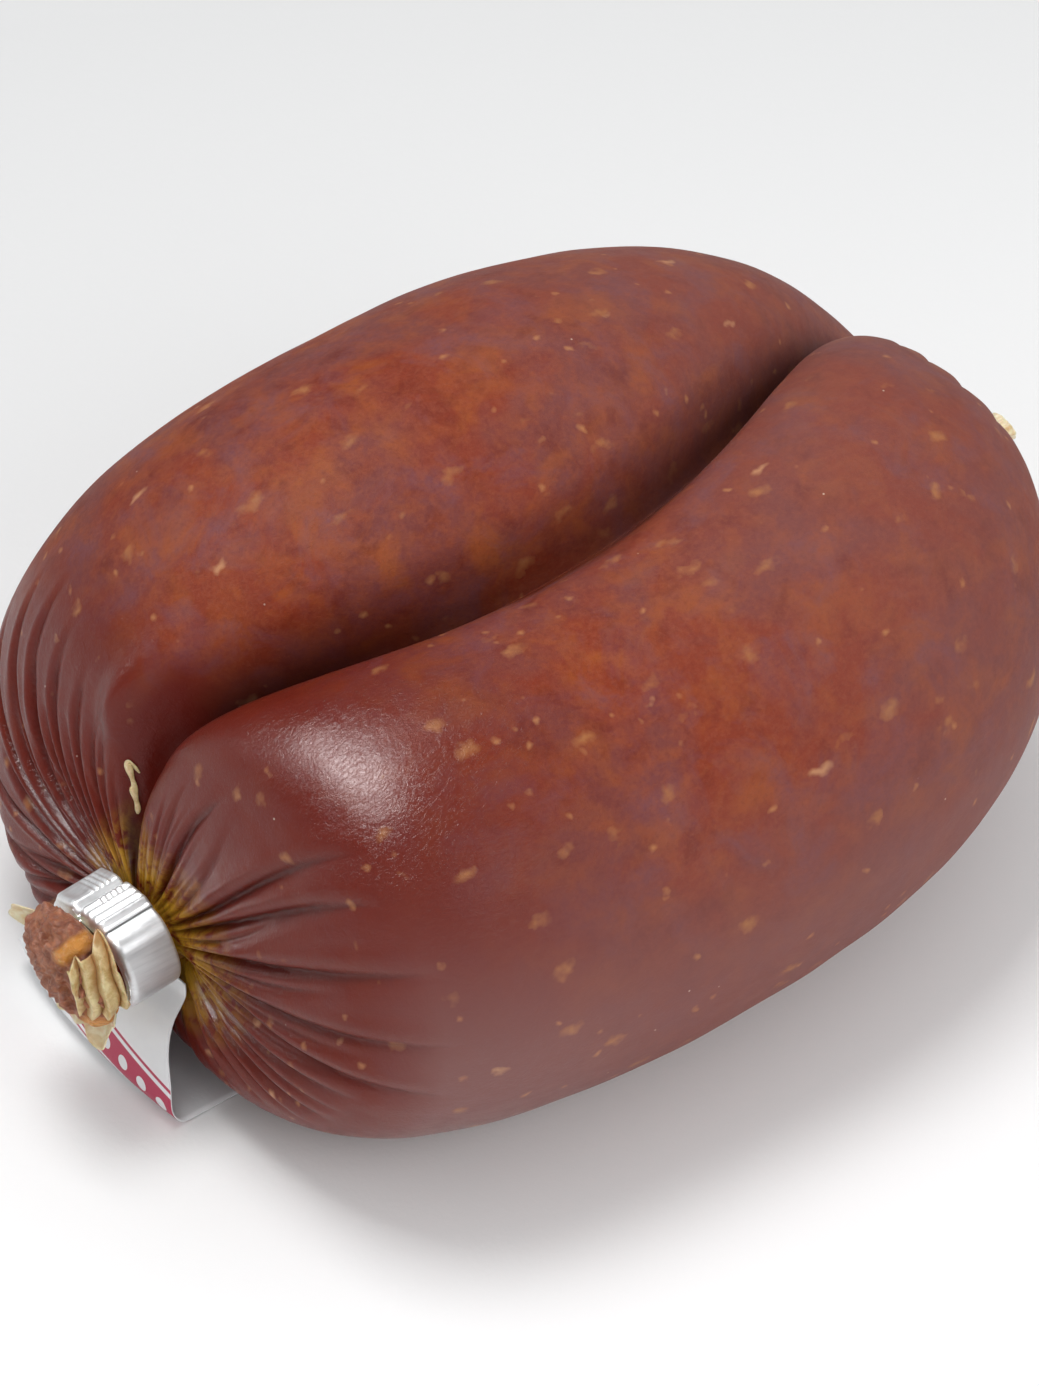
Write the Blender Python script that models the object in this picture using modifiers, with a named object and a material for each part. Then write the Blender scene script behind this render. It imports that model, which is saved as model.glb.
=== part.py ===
"""A cured sausage: two lobes with a deep crease between them, closed by a metal clip that holds a label.

Metres, +Z up. The sausage lies along X with the clip at -X. It rests on the flat spots under its two lobes
at z = 0, and the whole object's box is centred on X = 0 and Y = 0.

A point of the skin has two angles: u runs along the sausage from the clip end (0) to the tied end (pi), and
v runs round it from the front (0) over the crease on top (a quarter turn) to the back (half a turn).
"""
import math

import bmesh
import bpy
import numpy as np
from mathutils import Matrix

MM = 0.001
QUARTER = math.pi / 2
SEED = 11
OBJECT_NAME = "cured_sausage"

# Body
HALF_LENGTH = 64.0 * MM
LOBE_RADIUS = 35.7 * MM
LOBE_SPREAD = (0.518, 0.409, 0.517)
HEIGHT_SCALE = 0.972
FRONT_WIDTH = (1.072, 0.959, 1.014)
BACK_WIDTH = (0.960, 0.909, 1.003)
CREASE_DEPTH = (0.433, 0.109, 0.282)
CREASE_HALF_ANGLE = 0.227
CREASE_SHARPNESS = 1.3
SLIT_DEPTH = (0.34, 0.17, 0.26)
SLIT_SHIFT = (0.065, 0.03, 0.03)
SLIT_HALF_ANGLE = (0.125, 0.10, 0.10)
SLIT_SHARPNESS = 3
CREASE_WANDER = (0.144, 0.308, 0.498)
END_BLUNTNESS = (0.469, 0.808)
AXIS_HEIGHT = 33.6 * MM
END_HEIGHT = (25.4 * MM, 25.6 * MM)
END_DROOP = 3.4
SIDE_BOW = -3.4 * MM
LOBE_JOIN = 0.35
LOBE_STAGGER = (3.0 * MM, -7.9 * MM)
CLIP_END_DENT = 0.121
CLIP_END_REACH = 0.716
CLIP_END_OVERHANG = 0.391
OVERHANG_FULL_AT = 0.6
UNDER_CLIP_DIMPLE = 3.0 * MM
OVER_CLIP_SWELL = -0.4 * MM
DIMPLE_SIDES = (0.3, -0.45)
TIED_END_DIMPLE = 1.0 * MM
DIMPLE_WIDTH = 8.0 * MM

# Skin drawn in to the two necks
NECK_HALF_WIDTH = 6.1 * MM
NECK_HALF_HEIGHT = 4.2 * MM
NECK_SQUARENESS = 2.3
TIED_NECK_RADIUS = 2.4 * MM
NECK_FLARE = 1.2
NECK_DRAWS_WITHIN = 0.4
GAP = 0.3 * MM

# Clip: a flat band bent round the neck, its two ends pressed together on top
CLIP_CENTRE = (-57.0 * MM, -1.5 * MM, 22.0 * MM)
CLIP_DIP = math.radians(5.7)
CLIP_ROLL = math.radians(20)
BAND_WIDTH = 6.6 * MM
CLIP_HALF_WIDTH = 8.3 * MM
CLIP_TOP = 6.1 * MM
CLIP_BOTTOM = -6.2 * MM
CLIP_WAIST = 1.0 * MM
CLIP_CORNER = 3.2
CLIP_LOWER_CORNER = 2.3
SHOULDER_FROM = math.radians(62)
FINGER_REACH = 5.7 * MM
FINGER_RISE = 1.1 * MM
FINGER_CREST = 1.4 * MM
FINGER_EDGE = 0.4 * MM
FINGER_SLOPE = 0.5 * MM
FINGER_GROOVE = 0.4 * MM
SEAM_LIP = 0.2 * MM
SEAM_HALF_GAP = 0.25 * MM
RIM_ROUNDING = 0.3 * MM

# Cut end of the casing, outside the clip: distance past the band and radius of each ring
TUFT_RINGS = ((0.9, 5.4), (1.7, 6.5), (2.6, 6.9), (3.8, 6.4), (4.6, 5.0), (5.0, 3.2), (5.1, 1.5))
TUFT_LUMP = 0.07
TUFT_LIFT = 0.6 * MM

# Tied end: distance out from the neck and radius of each ring of the small tip
TIP_RINGS = ((1.2, 2.1), (3.0, 1.5), (5.5, 1.3), (7.5, 1.6), (8.8, 1.9), (9.3, 1.3))
TIP_RISE = 0.35

# Label: a strip of paper that hangs from the neck to the floor and turns back under the sausage
PAPER = 0.35 * MM
LABEL_ROUTE = ((-55.85, 16.8), (-56.1, 14.7), (-58.4, 12.4), (-59.8, 9.6), (-60.5, 6.0), (-60.9, 2.6),
               (-59.6, 0.5), (-57.0, 0.3), (-53.5, 0.3), (-49.0, 0.3))
LABEL_TOP_EDGES = (-8.0 * MM, 5.0 * MM)
LABEL_LOW_EDGES = (-12.0 * MM, 20.5 * MM)
LABEL_SPREAD_BY = 0.62
LABEL_BULGE = 1.3 * MM
LABEL_BULGE_FADE = 3
LABEL_CURL = 2.6 * MM
LABEL_CURL_FROM = 0.72
LABEL_TOP_TILT = -0.12

# Mesh
COLUMNS = 100
COLUMN_CROWDING = 0.35
NECK_COLUMNS = 26
STEP_GROWS_OVER = 45 * MM
CLIP_END_STEP = 1.7 * MM
MIDDLE_STEP = 7.4 * MM
TIED_END_STEP = 3.0 * MM
LABEL_COLUMNS = 10
LABEL_ROWS = 26
ROUTE_STEPS = 20
WELD_DISTANCE = 0.01 * MM

# Folds that draw in to the clip: angle v beside the clip and at the far end, reach u, all in degrees, depth
CLIP_FOLDS = (
    (27, 37, 37, 1.3), (21, 28, 36, 1.5), (8, 17, 41, 1.4), (-4, 4, 43, 1.3), (-12, -8, 42, 1.4),
    (-22, -14, 26, 1.3), (-34, -26, 24, 1.3), (53, 51, 19, 1.1), (119, 111, 20, 0.9), (133, 124, 16, 0.8),
    (145, 134, 18, 1.0), (156, 138, 23, 1.2), (167, 148, 29, 1.2), (180, 171, 18, 1.1), (193, 199, 17, 1.0),
)
HIDDEN_FOLDS = ((206, 318, 10), (0, 360, 15))
FOLD_HALF_ANGLE = math.radians(2.9)
FOLD_FADE = 0.8
FOLD_STARTS_AT = 0.012
TIED_FOLDS = (54, 45, 35, 25)

# Broad swells of the skin: centre u and v in degrees, half width in degrees, height
SWELLS = ((16, 200, 22, 1.6), (150, 20, 16, 1.1), (133, 114, 16, 0.6))
NECK_CLEARANCE = 0.5


def unit(a):
    """The vectors of an array, each at length one."""
    return a / np.linalg.norm(a, axis=-1, keepdims=True)


def end_mix(c, at_ends):
    """A value that differs at the clip end, in the middle and at the tied end."""
    near, middle, far = at_ends
    return middle * (1 - c ** 2) + c ** 2 * np.where(c < 0, near, far)


def by_end(c, pair):
    """The first value towards the clip end, the second towards the tied end."""
    return np.where(c < 0, pair[0], pair[1])


def lobe_side(v):
    """1 on the front lobe, -1 on the back lobe, with a smooth change across the crease."""
    side = np.clip(np.cos(v) / LOBE_JOIN, -1, 1)
    return side * (1.5 - 0.5 * side ** 2)


def lobe_section(v, c):
    """Distance from the axis to the outline of two round lobes, with a notch and a narrow slit between."""
    offset = end_mix(c, LOBE_SPREAD) * LOBE_RADIUS
    radius = offset * np.abs(np.cos(v)) + np.sqrt(LOBE_RADIUS ** 2 - (offset * np.sin(v)) ** 2)
    notch = np.exp(-(np.abs(v - QUARTER) / CREASE_HALF_ANGLE) ** CREASE_SHARPNESS)
    past_slit = np.abs(v - QUARTER - end_mix(c, SLIT_SHIFT)) / end_mix(c, SLIT_HALF_ANGLE)
    slit = np.exp(-past_slit ** SLIT_SHARPNESS)
    return radius * (1 - end_mix(c, CREASE_DEPTH) * notch - end_mix(c, SLIT_DEPTH) * slit)


def neck_radius(angle):
    """Distance from the axis of the clip to the rounded oval of the neck, at an angle round the axis."""
    across = np.abs(np.cos(angle - CLIP_ROLL)) / NECK_HALF_WIDTH
    up = np.abs(np.sin(angle - CLIP_ROLL)) / NECK_HALF_HEIGHT
    return (across ** NECK_SQUARENESS + up ** NECK_SQUARENESS) ** (-1 / NECK_SQUARENESS)


def turned_angle(u, v):
    """The true angle round the axis: the crease wanders from the back towards the front along the top."""
    c = -np.cos(u)
    start, slope, bend = CREASE_WANDER
    return v + (start + slope * c + bend * (2 * c ** 2 - 1)) * (1 + np.sin(v)) / 2


def dimple_depth(c, angle):
    """How far the skin is drawn in at a neck: deep under the clip, where the label hangs, not over it."""
    first, last = DIMPLE_SIDES
    under = np.clip((np.sin(angle) - first) / (last - first), 0, 1)
    under = under * under * (3 - 2 * under)
    at_clip = OVER_CLIP_SWELL + (UNDER_CLIP_DIMPLE - OVER_CLIP_SWELL) * under
    return np.where(c < 0, at_clip, TIED_END_DIMPLE)


def smooth_skin(u, v):
    """A point of the skin without folds."""
    c = -np.cos(u)
    angle = turned_angle(u, v)
    side = lobe_side(v)
    share = np.sin(u) ** by_end(c, END_BLUNTNESS)
    radius = lobe_section(v, c) * share
    front, back = end_mix(c, FRONT_WIDTH), end_mix(c, BACK_WIDTH)
    width = (front + back) / 2 + (front - back) / 2 * side

    body_y = -radius * np.cos(angle) * width
    body_z = radius * np.sin(angle) * HEIGHT_SCALE
    neck = np.where(c < 0, neck_radius(angle), TIED_NECK_RADIUS)
    at_neck = np.exp(-np.hypot(body_y, body_z) / (NECK_FLARE * neck))
    drawn = np.exp(-(share / NECK_DRAWS_WITHIN) ** 2)
    y = body_y - neck * np.cos(angle) * at_neck
    z = body_z + neck * np.sin(angle) * at_neck
    y += SIDE_BOW * (1 - c ** 2) + np.where(c < 0, drawn * CLIP_CENTRE[1], 0)
    z += AXIS_HEIGHT + (by_end(c, END_HEIGHT) - AXIS_HEIGHT) * np.abs(c) ** END_DROOP
    z += np.where(c < 0, drawn * (CLIP_CENTRE[2] - END_HEIGHT[0]), 0)

    overhang = 1 + CLIP_END_OVERHANG * np.sin(angle) * np.clip(share / OVERHANG_FULL_AT, 0, 1) ** 2
    x = c * HALF_LENGTH * (1 - CLIP_END_DENT * np.exp(-(u / CLIP_END_REACH) ** 2) * overhang)
    x += side * by_end(c, LOBE_STAGGER) * c ** 2 * np.sin(u)
    x -= np.sign(c) * dimple_depth(c, angle) * np.exp(-np.hypot(body_y, body_z) / DIMPLE_WIDTH)
    return np.stack([x, y, z], -1)


def skin_normal(u, v, step=0.004):
    """The direction out of the skin, from two short steps on it."""
    low, high = np.clip(u - step, 1e-4, math.pi - 1e-4), np.clip(u + step, 1e-4, math.pi - 1e-4)
    along = smooth_skin(high, v) - smooth_skin(low, v)
    around = smooth_skin(u, v + step) - smooth_skin(u, v - step)
    return unit(np.cross(along, around))


def angle_apart(a, b):
    return np.abs((a - b + math.pi) % (2 * math.pi) - math.pi)


def fold_list():
    """Every fold as its end, its angle beside the neck and at the far end, its reach and its depth."""
    rng = np.random.default_rng(SEED)
    folds = [(0, *np.radians(fold[:3]), fold[3] * MM) for fold in CLIP_FOLDS]
    for end, (first, last, count) in enumerate(HIDDEN_FOLDS):
        for angle in np.linspace(first, last, count, endpoint=False):
            angle += rng.uniform(-3, 3)
            if end == 1 and min(abs(angle - shown) for shown in TIED_FOLDS) < 8:
                continue
            reach, depth = rng.uniform(16, 36), rng.uniform(0.7, 1.3)
            folds.append((end, *np.radians((angle, angle + rng.uniform(-6, 6), reach)), depth * MM))
    folds += [(1, *np.radians((angle + 3, angle, 38)), 1.1 * MM) for angle in TIED_FOLDS]
    return folds


def relief(u, v):
    """Height of the skin over its smooth form: narrow folds at both ends and a few broad swells."""
    height = np.zeros(np.broadcast(u, v).shape)
    clear_of_neck = 1 - np.exp(-(np.sin(u) ** END_BLUNTNESS[0] / NECK_CLEARANCE) ** 2)
    for end, near, far, reach, depth in FOLDS:
        from_end = u if end == 0 else math.pi - u
        run = np.clip(from_end / reach, 0, 1)
        middle = near + (far - near) * run
        along = (1 - run) ** FOLD_FADE * (1 - np.exp(-from_end / FOLD_STARTS_AT))
        height -= depth * along * np.exp(-(angle_apart(v, middle) / FOLD_HALF_ANGLE) ** 2)
    for at_u, at_v, half_width, rise in SWELLS:
        far_u = (u - math.radians(at_u)) / math.radians(half_width)
        far_v = angle_apart(v, math.radians(at_v)) / math.radians(half_width)
        height += rise * MM * np.exp(-far_u ** 2 - far_v ** 2) * clear_of_neck
    return height


def skin(u, v):
    """A point of the finished skin, flat where it rests on the surface below."""
    at = smooth_skin(u, v) + skin_normal(u, v) * relief(u, v)[..., None]
    at[..., 2] = np.maximum(at[..., 2], 0)
    return at


def stations():
    """The angles u of the rings, close together at the ends and further apart in the middle."""
    u = np.linspace(1e-4, math.pi - 1e-4, 4001)
    front = smooth_skin(u, np.zeros_like(u))
    length = np.concatenate([[0], np.cumsum(np.linalg.norm(np.diff(front, axis=0), axis=1))])
    from_clip = CLIP_END_STEP + (MIDDLE_STEP - CLIP_END_STEP) * np.clip(length / STEP_GROWS_OVER, 0, 1)
    left = length[-1] - length
    from_tied = TIED_END_STEP + (MIDDLE_STEP - TIED_END_STEP) * np.clip(left / STEP_GROWS_OVER, 0, 1)
    step = np.minimum(from_clip, from_tied)
    count = np.concatenate([[0], np.cumsum(np.diff(length) / step[1:])])
    return np.interp(np.linspace(0, count[-1], int(round(count[-1])) + 1), count, u)


def clip_axes():
    """Columns: across the clip, up it, and out along the neck."""
    level = Matrix(((0, 0, -1), (-1, 0, 0), (0, 1, 0)))
    return Matrix.Rotation(-CLIP_DIP, 3, "Y") @ level @ Matrix.Rotation(CLIP_ROLL, 3, "Z")


def clip_place(distance):
    """The point at a distance out along the clip's axis, from the band's inner rim."""
    return np.array(CLIP_CENTRE) + np.array(clip_axes().col[2]) * distance


def neck_ring(distance, scale, angles, lumps=0.0, lift=0.0):
    """A ring of the neck, or of the cut end, across the clip's axis."""
    out = np.array(clip_axes().col[2])
    up = np.cross((0, 1, 0), out)
    radius = neck_radius(angles) * scale * (1 + lumps)
    ring = clip_place(distance) + np.array((0, 0, lift))
    return ring - np.outer(radius * np.cos(angles), (0, 1, 0)) + np.outer(radius * np.sin(angles), up)


def cut_end_rings(angles):
    """Rings of the bunched casing and meat past the clip, from its middle inwards to the band."""
    round_up = 1 / neck_radius(angles)
    lumps = TUFT_LUMP * (np.sin(5 * angles + 0.6) + 0.6 * np.sin(8 * angles + 2.0))
    rings = []
    for beyond, radius in reversed(TUFT_RINGS):
        lift = TUFT_LIFT * min(1, beyond / 2)
        scale = radius * MM * round_up
        rings.append(neck_ring(BAND_WIDTH + beyond * MM, scale, angles, lumps, lift))
    return rings


def tip_rings(angles, root):
    """Rings of the small twisted tip at the tied end."""
    out = unit(np.array((1, 0, TIP_RISE)))
    up = np.cross((0, -1, 0), out)
    rings = []
    for distance, radius in TIP_RINGS:
        wide = radius * MM * (1 + 0.12 * np.sin(3 * angles + 0.5))
        across = np.outer(wide * np.cos(angles), (0, -1, 0)) + np.outer(wide * np.sin(angles), up)
        rings.append(root + out * distance * MM + across)
    return rings


def new_object(name, mesh, collection, material):
    obj = bpy.data.objects.new(name, mesh)
    collection.objects.link(obj)
    mesh.materials.append(material)
    return obj


def material(name, colour, roughness, metallic=0.0):
    made = bpy.data.materials.new(name)
    made.use_nodes = True
    shader = made.node_tree.nodes["Principled BSDF"]
    shader.inputs["Base Color"].default_value = (*colour, 1)
    shader.inputs["Roughness"].default_value = roughness
    shader.inputs["Metallic"].default_value = metallic
    return made


def loft(name, rings):
    """A closed mesh through rings of equal count, with a fan over each end."""
    mesh = bpy.data.meshes.new(name)
    bm = bmesh.new()
    loops = [[bm.verts.new(point) for point in ring] for ring in rings]
    for here, there in zip(loops, loops[1:]):
        for i in range(len(here)):
            j = (i + 1) % len(here)
            bm.faces.new((here[i], here[j], there[j], there[i]))
    for loop in (loops[0], loops[-1]):
        middle = bm.verts.new(sum((vert.co for vert in loop[1:]), loop[0].co.copy()) / len(loop))
        for i in range(len(loop)):
            bm.faces.new((loop[i], loop[(i + 1) % len(loop)], middle))
    bmesh.ops.triangulate(bm, faces=bm.faces, quad_method="SHORT_EDGE")
    bmesh.ops.recalc_face_normals(bm, faces=bm.faces)
    bm.to_mesh(mesh)
    bm.free()
    mesh.shade_smooth()
    return mesh


def column_angles():
    """The angles v of the columns, closer together in the crease than under the sausage."""
    even = np.arange(COLUMNS) * 2 * math.pi / COLUMNS
    return even - COLUMN_CROWDING * np.sin(even - QUARTER)


def make_sausage(collection):
    """The meat in its casing, with the neck through the clip, the cut end and the tied end."""
    v = column_angles()
    body = [skin(np.full_like(v, u), v) for u in stations()]
    angles = turned_angle(1e-4, v)
    in_clip = [neck_ring(along, 1, angles) for along in (BAND_WIDTH + GAP, BAND_WIDTH / 2, -GAP)]
    rings = cut_end_rings(angles) + in_clip + body
    rings += tip_rings(turned_angle(math.pi, v), body[-1].mean(axis=0))
    skin_colour = material("smoked_casing", (0.19, 0.035, 0.022), 0.35)
    return new_object("sausage", loft("sausage", rings), collection, skin_colour)


def squared_point(t, squareness):
    """A point at angle t on a rounded square of half width one."""
    w, h = math.cos(t), math.sin(t)
    return [math.copysign(abs(part) ** (2 / squareness), part) for part in (w, h)]


def clip_outline():
    """The band seen along the neck: from the seam on top round the outside, and back round the inside."""
    crest = CLIP_TOP + FINGER_RISE
    right = [(SEAM_HALF_GAP, CLIP_TOP + SEAM_LIP), (FINGER_CREST, crest),
             (FINGER_REACH - FINGER_EDGE, crest - FINGER_SLOPE), (FINGER_REACH, CLIP_TOP),
             (FINGER_REACH + FINGER_EDGE, CLIP_TOP - FINGER_GROOVE)]
    for t in np.linspace(SHOULDER_FROM, 0, 6):
        w, h = squared_point(t, CLIP_CORNER)
        right.append((CLIP_HALF_WIDTH * w, CLIP_WAIST + (CLIP_TOP - CLIP_WAIST) * h))
    for t in np.linspace(0, QUARTER, 9)[1:]:
        w, h = squared_point(t, CLIP_LOWER_CORNER)
        right.append((CLIP_HALF_WIDTH * w, CLIP_WAIST + (CLIP_BOTTOM - CLIP_WAIST) * h))
    outer = right + [(-w, h) for w, h in reversed(right[:-1])]
    lip = SEAM_HALF_GAP / (NECK_HALF_WIDTH + GAP)
    inner = []
    for t in np.linspace(QUARTER + lip, 5 * QUARTER - lip, NECK_COLUMNS):
        w, h = squared_point(t, NECK_SQUARENESS)
        inner.append((w * (NECK_HALF_WIDTH + GAP), h * (NECK_HALF_HEIGHT + GAP)))
    return outer + inner


def make_clip(collection):
    """The bent band, an outline extruded along the neck, with rounded rims."""
    curve = bpy.data.curves.new("clip", "CURVE")
    curve.dimensions = "2D"
    curve.fill_mode = "BOTH"
    curve.extrude = BAND_WIDTH / 2
    outline = clip_outline()
    spline = curve.splines.new("POLY")
    spline.points.add(len(outline) - 1)
    for point, (w, h) in zip(spline.points, outline):
        point.co = (w, h, 0, 1)
    spline.use_cyclic_u = True
    clip = new_object("clip", curve, collection, material("aluminium", (0.62, 0.63, 0.64), 0.32, 1.0))
    clip.matrix_world = Matrix.Translation(clip_place(BAND_WIDTH / 2)) @ clip_axes().to_4x4()
    weld = clip.modifiers.new("weld", "WELD")
    weld.merge_threshold = WELD_DISTANCE
    rounding = clip.modifiers.new("rounding", "BEVEL")
    rounding.width = RIM_ROUNDING
    rounding.segments = 1
    rounding.limit_method = "ANGLE"
    rounding.angle_limit = math.radians(60)
    return clip


def smooth_route(points, rows):
    """Points at even steps on a smooth curve through the given ones."""
    knots = np.array([points[0], *points, points[-1]], float)
    run = []
    for before, start, end, after in zip(knots, knots[1:], knots[2:], knots[3:]):
        second = 2 * before - 5 * start + 4 * end - after
        third = 3 * start - before - 3 * end + after
        for t in np.linspace(0, 1, ROUTE_STEPS, endpoint=False):
            run.append((2 * start + (end - before) * t + second * t ** 2 + third * t ** 3) / 2)
    run.append(knots[-1])
    run = np.array(run)
    length = np.concatenate([[0], np.cumsum(np.linalg.norm(np.diff(run, axis=0), axis=1))])
    at = np.linspace(0, length[-1], rows)
    return np.stack([np.interp(at, length, run[:, i]) for i in range(2)], -1)


def label_point(row_share, across, x, z):
    """A point of the paper: narrow under the clip, wide on the floor, its back edge curled up."""
    spread = min(1, row_share / LABEL_SPREAD_BY)
    spread = spread * spread * (3 - 2 * spread)
    edges = [top + (low - top) * spread for top, low in zip(LABEL_TOP_EDGES, LABEL_LOW_EDGES)]
    y = edges[0] + (edges[1] - edges[0]) * across
    crown = 1 - (2 * across - 1) ** 2
    bulge_left = max(0, 1 - max(0, row_share - LABEL_SPREAD_BY) * LABEL_BULGE_FADE)
    x -= LABEL_BULGE * crown * spread * bulge_left
    z += LABEL_CURL * max(0, (across - LABEL_CURL_FROM) / (1 - LABEL_CURL_FROM)) ** 2 * spread
    z += (1 - spread) * LABEL_TOP_TILT * (y - CLIP_CENTRE[1])
    return x, y, z


def make_label(collection):
    """The strip of paper, an open sheet made thick by Solidify."""
    route = smooth_route(LABEL_ROUTE, LABEL_ROWS) * MM
    mesh = bpy.data.meshes.new("label")
    bm = bmesh.new()
    across = np.linspace(0, 1, LABEL_COLUMNS)
    rows = []
    for share, (x, z) in zip(np.linspace(0, 1, LABEL_ROWS), route):
        rows.append([bm.verts.new(label_point(share, place, x, z)) for place in across])
    for here, there in zip(rows, rows[1:]):
        for j in range(LABEL_COLUMNS - 1):
            bm.faces.new((here[j], here[j + 1], there[j + 1], there[j]))
    bmesh.ops.triangulate(bm, faces=bm.faces)
    bm.to_mesh(mesh)
    bm.free()
    mesh.shade_smooth()
    label = new_object("label", mesh, collection, material("paper", (0.85, 0.85, 0.86), 0.6))
    thick = label.modifiers.new("thickness", "SOLIDIFY")
    thick.thickness = PAPER
    thick.offset = 0
    thick.use_even_offset = True
    return label


def centre_on_box(objects):
    """Moves all pieces so that the whole object's box is centred on X = 0 and Y = 0."""
    bpy.context.view_layer.update()
    graph = bpy.context.evaluated_depsgraph_get()
    corners = []
    for obj in objects:
        evaluated = obj.evaluated_get(graph)
        mesh = evaluated.to_mesh()
        corners += [evaluated.matrix_world @ vert.co for vert in mesh.vertices]
        evaluated.to_mesh_clear()
    corners = np.array(corners)
    middle = (corners.min(axis=0) + corners.max(axis=0)) / 2
    for obj in objects:
        obj.matrix_world = Matrix.Translation((-middle[0], -middle[1], 0)) @ obj.matrix_world


def main():
    for obj in list(bpy.data.objects):
        bpy.data.objects.remove(obj, do_unlink=True)
    collection = bpy.data.collections.new(OBJECT_NAME)
    bpy.context.scene.collection.children.link(collection)
    pieces = [make_sausage(collection), make_clip(collection), make_label(collection)]
    centre_on_box(pieces)


FOLDS = fold_list()
main()
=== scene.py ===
"""A cured sausage as it looks.

Glossy smoked casing over mottled meat, with folds drawn in to a metal clip that holds a label.
Metres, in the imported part's frame. Shapes repeat the part's formulas in its own raw frame, which
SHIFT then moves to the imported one.
"""
import math

import bpy
import numpy as np
from mathutils import Matrix, Vector, noise


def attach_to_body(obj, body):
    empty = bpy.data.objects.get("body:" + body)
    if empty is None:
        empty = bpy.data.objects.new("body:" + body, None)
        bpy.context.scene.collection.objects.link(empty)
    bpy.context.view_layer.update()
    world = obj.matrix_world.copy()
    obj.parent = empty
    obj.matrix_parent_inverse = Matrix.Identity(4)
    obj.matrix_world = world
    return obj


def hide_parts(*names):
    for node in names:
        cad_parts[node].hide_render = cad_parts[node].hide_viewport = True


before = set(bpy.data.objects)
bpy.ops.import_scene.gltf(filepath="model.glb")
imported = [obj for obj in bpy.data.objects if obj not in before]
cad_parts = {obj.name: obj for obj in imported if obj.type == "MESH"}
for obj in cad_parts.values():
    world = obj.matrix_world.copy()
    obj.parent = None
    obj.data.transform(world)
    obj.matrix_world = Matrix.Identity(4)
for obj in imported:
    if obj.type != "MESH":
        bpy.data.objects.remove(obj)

MM = 0.001
QUARTER = math.pi / 2
NEARLY_END = 1e-4
SIDEWAYS = np.array((0, 1, 0))
SHIFT = np.array((-1.681, 4.587, 0.0)) * MM

# Body, as in the part
HALF_LENGTH = 64.0 * MM
LOBE_RADIUS = 35.7 * MM
LOBE_SPREAD = (0.518, 0.409, 0.517)
HEIGHT_SCALE = 0.972
FRONT_WIDTH = (1.072, 0.959, 1.014)
BACK_WIDTH = (0.960, 0.909, 1.003)
CREASE_DEPTH = (0.433, 0.109, 0.282)
CREASE_HALF_ANGLE = 0.227
CREASE_SHARPNESS = 1.3
SLIT_DEPTH = (0.34, 0.17, 0.26)
SLIT_SHIFT = (0.065, 0.03, 0.03)
SLIT_HALF_ANGLE = (0.125, 0.10, 0.10)
SLIT_SHARPNESS = 3
CREASE_WANDER = (0.144, 0.308, 0.498)
END_BLUNTNESS = (0.469, 0.808)
AXIS_HEIGHT = 33.6 * MM
END_HEIGHT = (25.4 * MM, 25.6 * MM)
END_DROOP = 3.4
SIDE_BOW = -3.4 * MM
LOBE_JOIN = 0.35
LOBE_STAGGER = (3.0 * MM, -7.9 * MM)
CLIP_END_DENT = 0.121
CLIP_END_REACH = 0.716
CLIP_END_OVERHANG = 0.391
OVERHANG_FULL_AT = 0.6
UNDER_CLIP_DIMPLE = 3.0 * MM
OVER_CLIP_SWELL = -0.4 * MM
DIMPLE_SIDES = (0.3, -0.45)
TIED_END_DIMPLE = 1.0 * MM
DIMPLE_WIDTH = 8.0 * MM
NECK_HALF_WIDTH = 6.1 * MM
NECK_HALF_HEIGHT = 4.2 * MM
NECK_SQUARENESS = 2.3
TIED_NECK_RADIUS = 2.4 * MM
NECK_FLARE = 1.2
NECK_DRAWS_WITHIN = 0.4
GAP = 0.3 * MM

# Clip, as in the part
CLIP_CENTRE = np.array((-57.0, -1.5, 22.0)) * MM
CLIP_DIP = math.radians(5.7)
CLIP_ROLL = math.radians(20)
BAND_WIDTH = 6.6 * MM
CLIP_HALF_WIDTH = 8.3 * MM
CLIP_TOP = 6.1 * MM
CLIP_BOTTOM = -6.2 * MM
CLIP_WAIST = 1.0 * MM
CLIP_CORNER = 3.2
CLIP_LOWER_CORNER = 2.3
FINGER_REACH = 5.7 * MM
FINGER_RISE = 1.1 * MM
FINGER_SLOPE = 0.5 * MM
FINGER_GROOVE = 0.4 * MM
SHOULDER_FROM = math.radians(62)
SEAM_HALF_GAP = 0.25 * MM
BAND_STEPS = 321
TUFT_RIM_ROUNDING = 0.8 * MM
BODY_RIM_ROUNDING = 0.4 * MM

# Label, as in the part
PAPER = 0.16 * MM
LABEL_ROUTE = (
    (-55.85, 16.8), (-56.1, 14.7), (-58.4, 12.4), (-59.8, 9.6), (-60.5, 6.0),
    (-60.9, 2.6), (-59.6, 0.5), (-57.0, 0.3), (-53.5, 0.3), (-49.0, 0.3),
)
LABEL_TOP_EDGES = (-8.0 * MM, 5.0 * MM)
LABEL_LOW_EDGES = (-12.0 * MM, 20.5 * MM)
LABEL_SPREAD_BY = 0.62
LABEL_BULGE = 1.3 * MM
LABEL_CURL = 2.6 * MM
LABEL_CURLS_FROM = 0.72
LABEL_TOP_TILT = -0.12

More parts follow.
